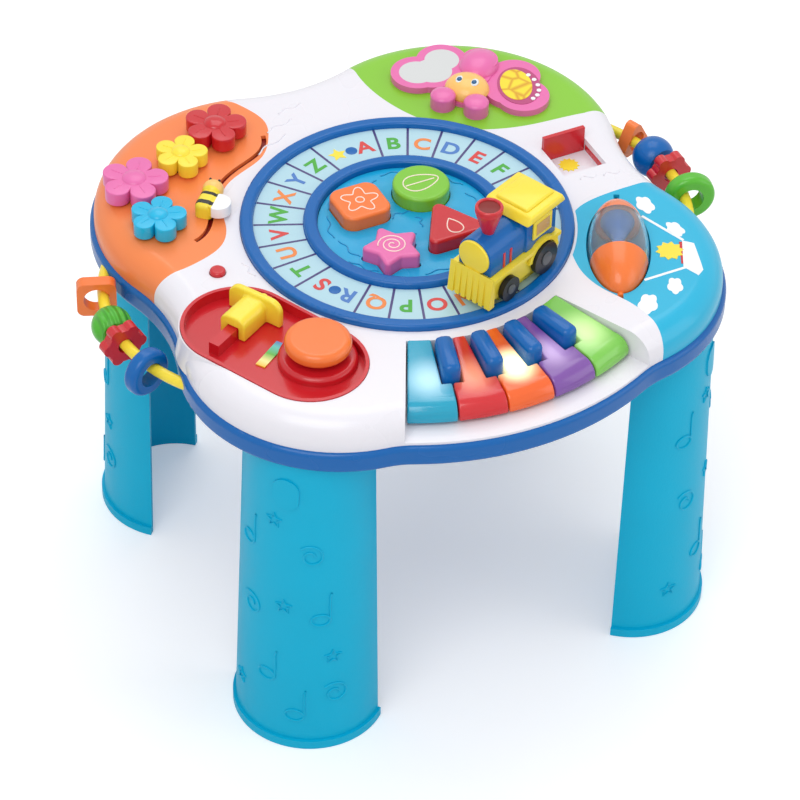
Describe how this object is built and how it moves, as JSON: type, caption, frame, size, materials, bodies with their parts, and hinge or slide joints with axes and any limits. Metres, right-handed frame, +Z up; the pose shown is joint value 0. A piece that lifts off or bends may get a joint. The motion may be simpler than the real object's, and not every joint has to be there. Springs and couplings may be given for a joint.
{
  "type": "musical activity table",
  "caption": "Lobed play table on curved legs with a ring track and train, fan keyboard, shape and flower buttons, roller, sliders and side bead loops.",
  "frame": {"origin": "middle of the footprint, on the floor", "axes": "+Z up, -Y towards the side with the keys, +X to the right of someone facing the keys"},
  "size_m": [0.4604, 0.3999, 0.3714],
  "materials": {
    "rim_blue": "moulded, smooth",
    "board_green": "moulded, smooth",
    "black_plastic": "moulded, smooth",
    "screw_steel": "moulded, smooth",
    "white_plastic": "moulded, smooth",
    "orange_panel": "moulded, smooth",
    "green_panel": "moulded, smooth",
    "sky_panel": "moulded, smooth",
    "red_panel": "moulded, smooth",
    "clear_lens": "moulded, smooth",
    "pond_blue": "moulded, smooth",
    "yellow_plastic": "moulded, smooth",
    "pink_plastic": "moulded, smooth",
    "mirror_sheet": "moulded, smooth",
    "peach_plastic": "moulded, smooth",
    "leg_cyan": "moulded, smooth",
    "orange_plastic": "moulded, smooth",
    "green_plastic": "moulded, smooth",
    "smoke_window": "moulded, smooth",
    "key_teal": "moulded, smooth",
    "key_red": "moulded, smooth",
    "key_orange": "moulded, smooth",
    "key_purple": "moulded, smooth",
    "key_green": "moulded, smooth"
  },
  "bodies": {
    "table": {"base_tray": "rim_blue", "battery_door": "rim_blue", "circuit_board": "board_green", "speaker": "black_plastic", "housing_screws": "screw_steel", "top_panel": "white_plastic", "flower_panel": "orange_panel", "meadow_panel": "green_panel", "sky_panel": "sky_panel", "control_panel": "red_panel", "light_strip": "clear_lens", "track_ring": "rim_blue", "pond_plate": "pond_blue", "bead_rods": "yellow_plastic", "butterfly_plate": "pink_plastic", "butterfly_mirror": "mirror_sheet", "butterfly_head": "peach_plastic", "leg_back_right": "leg_cyan", "leg_back_left": "leg_cyan", "leg_front_left": "leg_cyan", "leg_front_right": "leg_cyan"},
    "train": {"train_body": "rim_blue", "train_chassis": "yellow_plastic", "train_roof": "yellow_plastic", "train_chimney": "red_panel"},
    "roller": {"roller_caps": "orange_plastic", "roller_window": "smoke_window", "roller_core": "rim_blue"},
    "train_rear_wheels_body": {"train_rear_wheels": "black_plastic"},
    "train_front_wheels_body": {"train_front_wheels": "black_plastic"},
    "picture_door_body": {"picture_door": "red_panel"},
    "arrow_slider_body": {"arrow_slider": "yellow_plastic"},
    "big_knob_body": {"big_knob": "orange_plastic"},
    "power_button_body": {"power_button": "red_panel"},
    "bee_body": {"bee": "yellow_plastic"},
    "square_button_body": {"square_button": "orange_plastic"},
    "disc_button_body": {"disc_button": "green_plastic"},
    "star_button_body": {"star_button": "pink_plastic"},
    "triangle_button_body": {"triangle_button": "red_panel"},
    "flower_red_body": {"flower_red": "red_panel"},
    "flower_yellow_body": {"flower_yellow": "yellow_plastic"},
    "flower_pink_body": {"flower_pink": "pink_plastic"},
    "flower_blue_body": {"flower_blue": "leg_cyan"},
    "key_1_body": {"key_1": "key_teal"},
    "key_2_body": {"key_2": "key_red"},
    "key_3_body": {"key_3": "key_orange"},
    "key_4_body": {"key_4": "key_purple"},
    "key_5_body": {"key_5": "key_green"},
    "upper_key_1_body": {"upper_key_1": "rim_blue"},
    "upper_key_2_body": {"upper_key_2": "rim_blue"},
    "upper_key_3_body": {"upper_key_3": "rim_blue"},
    "upper_key_4_body": {"upper_key_4": "rim_blue"},
    "bead_left_1_body": {"bead_left_1": "orange_plastic"},
    "bead_left_2_body": {"bead_left_2": "green_plastic"},
    "bead_left_3_body": {"bead_left_3": "red_panel"},
    "bead_left_4_body": {"bead_left_4": "rim_blue"},
    "bead_right_1_body": {"bead_right_1": "orange_plastic"},
    "bead_right_2_body": {"bead_right_2": "rim_blue"},
    "bead_right_3_body": {"bead_right_3": "red_panel"},
    "bead_right_4_body": {"bead_right_4": "green_plastic"}
  },
  "joints": [
    {"name": "train_drive", "type": "hinge", "parent": "table", "child": "train", "pos_m": [-0.00133, 0.005, 0.297], "axis": [0, 0, 1], "continuous": true},
    {"name": "rear_wheels_roll", "type": "hinge", "parent": "train", "child": "train_rear_wheels_body", "pos_m": [0.04908, -0.06888, 0.3138], "axis": [0.4067, -0.9135, 0], "continuous": true},
    {"name": "front_wheels_roll", "type": "hinge", "parent": "train", "child": "train_front_wheels_body", "pos_m": [0.01436, -0.08434, 0.3108], "axis": [0.4067, -0.9135, 0], "continuous": true},
    {"name": "key_1_press", "type": "hinge", "parent": "table", "child": "key_1_body", "pos_m": [-0.04689, -0.11247, 0.287], "axis": [0.9323, -0.3616, 0], "range_deg": [0, 2], "stiffness_Nm_per_rad": 0.2, "springref_deg": -15},
    {"name": "key_2_press", "type": "hinge", "parent": "table", "child": "key_2_body", "pos_m": [-0.02451, -0.11885, 0.287], "axis": [0.9829, -0.184, 0], "range_deg": [0, 2], "stiffness_Nm_per_rad": 0.2, "springref_deg": -15},
    {"name": "key_3_press", "type": "hinge", "parent": "table", "child": "key_3_body", "pos_m": [-0.00133, -0.121, 0.287], "axis": [1, 0, 0], "range_deg": [0, 2], "stiffness_Nm_per_rad": 0.2, "springref_deg": -15},
    {"name": "key_4_press", "type": "hinge", "parent": "table", "child": "key_4_body", "pos_m": [0.02185, -0.11885, 0.287], "axis": [0.9829, 0.184, 0], "range_deg": [0, 2], "stiffness_Nm_per_rad": 0.2, "springref_deg": -15},
    {"name": "key_5_press", "type": "hinge", "parent": "table", "child": "key_5_body", "pos_m": [0.04423, -0.11247, 0.287], "axis": [0.9323, 0.3616, 0], "range_deg": [0, 2], "stiffness_Nm_per_rad": 0.2, "springref_deg": -15},
    {"name": "upper_key_1_press", "type": "hinge", "parent": "table", "child": "upper_key_1_body", "pos_m": [-0.03667, -0.11907, 0.29], "axis": [0.9617, -0.274, 0], "range_deg": [0, 2], "stiffness_Nm_per_rad": 0.2, "springref_deg": -15},
    {"name": "upper_key_2_press", "type": "hinge", "parent": "table", "child": "upper_key_2_body", "pos_m": [-0.01325, -0.12345, 0.29], "axis": [0.9957, -0.0924, 0], "range_deg": [0, 2], "stiffness_Nm_per_rad": 0.2, "springref_deg": -15},
    {"name": "upper_key_3_press", "type": "hinge", "parent": "table", "child": "upper_key_3_body", "pos_m": [0.01059, -0.12345, 0.29], "axis": [0.9957, 0.0924, 0], "range_deg": [0, 2], "stiffness_Nm_per_rad": 0.2, "springref_deg": -15},
    {"name": "upper_key_4_press", "type": "hinge", "parent": "table", "child": "upper_key_4_body", "pos_m": [0.03401, -0.11907, 0.29], "axis": [0.9617, 0.274, 0], "range_deg": [0, 2], "stiffness_Nm_per_rad": 0.2, "springref_deg": -15},
    {"name": "square_button_press", "type": "slide", "parent": "table", "child": "square_button_body", "axis": [0, 0, -1], "range_m": [0, 0.003], "stiffness_N_per_m": 300, "springref_m": -0.004},
    {"name": "disc_button_press", "type": "slide", "parent": "table", "child": "disc_button_body", "axis": [0, 0, -1], "range_m": [0, 0.003], "stiffness_N_per_m": 300, "springref_m": -0.004},
    {"name": "star_button_press", "type": "slide", "parent": "table", "child": "star_button_body", "axis": [0, 0, -1], "range_m": [0, 0.003], "stiffness_N_per_m": 300, "springref_m": -0.004},
    {"name": "triangle_button_press", "type": "slide", "parent": "table", "child": "triangle_button_body", "axis": [0, 0, -1], "range_m": [0, 0.003], "stiffness_N_per_m": 300, "springref_m": -0.004},
    {"name": "flower_red_press", "type": "slide", "parent": "table", "child": "flower_red_body", "axis": [0, 0, -1], "range_m": [0, 0.0016], "stiffness_N_per_m": 300, "springref_m": -0.004},
    {"name": "flower_yellow_press", "type": "slide", "parent": "table", "child": "flower_yellow_body", "axis": [0, 0, -1], "range_m": [0, 0.0016], "stiffness_N_per_m": 300, "springref_m": -0.004},
    {"name": "flower_pink_press", "type": "slide", "parent": "table", "child": "flower_pink_body", "axis": [0, 0, -1], "range_m": [0, 0.0016], "stiffness_N_per_m": 300, "springref_m": -0.004},
    {"name": "flower_blue_press", "type": "slide", "parent": "table", "child": "flower_blue_body", "axis": [0, 0, -1], "range_m": [0, 0.0016], "stiffness_N_per_m": 300, "springref_m": -0.004},
    {"name": "big_knob_press", "type": "slide", "parent": "table", "child": "big_knob_body", "axis": [0, 0, -1], "range_m": [0, 0.003], "stiffness_N_per_m": 300, "springref_m": -0.004},
    {"name": "power_button_press", "type": "slide", "parent": "table", "child": "power_button_body", "axis": [0, 0, -1], "range_m": [0, 0.0015], "stiffness_N_per_m": 300, "springref_m": -0.004},
    {"name": "picture_door_slide", "type": "slide", "parent": "table", "child": "picture_door_body", "axis": [0, -1, 0], "range_m": [0, 0.03]},
    {"name": "arrow_slide", "type": "slide", "parent": "table", "child": "arrow_slider_body", "axis": [-0.866, -0.5, 0], "range_m": [0, 0.016]},
    {"name": "bee_slide", "type": "slide", "parent": "table", "child": "bee_body", "axis": [0.7266, 0.6871, 0], "range_m": [-0.012, 0.044]},
    {"name": "roller_spin", "type": "hinge", "parent": "table", "child": "roller", "pos_m": [0.11767, -0.08, 0.296], "axis": [0.4587, 0.8886, 0], "continuous": true},
    {"name": "bead_left_1_slide", "type": "hinge", "parent": "table", "child": "bead_left_1_body", "pos_m": [-0.09503, 0.015, 0.266], "axis": [0, 0, -1], "range_deg": [-4, 1]},
    {"name": "bead_left_2_slide", "type": "hinge", "parent": "table", "child": "bead_left_2_body", "pos_m": [-0.09503, 0.015, 0.266], "axis": [0, 0, -1], "range_deg": [0, 3.5]},
    {"name": "bead_left_3_slide", "type": "hinge", "parent": "table", "child": "bead_left_3_body", "pos_m": [-0.09503, 0.015, 0.266], "axis": [0, 0, -1], "range_deg": [-5, 0]},
    {"name": "bead_left_4_slide", "type": "hinge", "parent": "table", "child": "bead_left_4_body", "pos_m": [-0.09503, 0.015, 0.266], "axis": [0, 0, -1], "range_deg": [-4, 3]},
    {"name": "bead_right_1_slide", "type": "hinge", "parent": "table", "child": "bead_right_1_body", "pos_m": [0.09237, 0.015, 0.266], "axis": [0, 0, 1], "range_deg": [-4, 0.8]},
    {"name": "bead_right_2_slide", "type": "hinge", "parent": "table", "child": "bead_right_2_body", "pos_m": [0.09237, 0.015, 0.266], "axis": [0, 0, 1], "range_deg": [-1, 2]},
    {"name": "bead_right_3_slide", "type": "hinge", "parent": "table", "child": "bead_right_3_body", "pos_m": [0.09237, 0.015, 0.266], "axis": [0, 0, 1], "range_deg": [-2, 0.5]},
    {"name": "bead_right_4_slide", "type": "hinge", "parent": "table", "child": "bead_right_4_body", "pos_m": [0.09237, 0.015, 0.266], "axis": [0, 0, 1], "range_deg": [-4, 1.5]}
  ],
  "couplings": [
    {"joint": "rear_wheels_roll", "follows": "train_drive", "ratio": -7.3333},
    {"joint": "front_wheels_roll", "follows": "train_drive", "ratio": -9.7778}
  ]
}
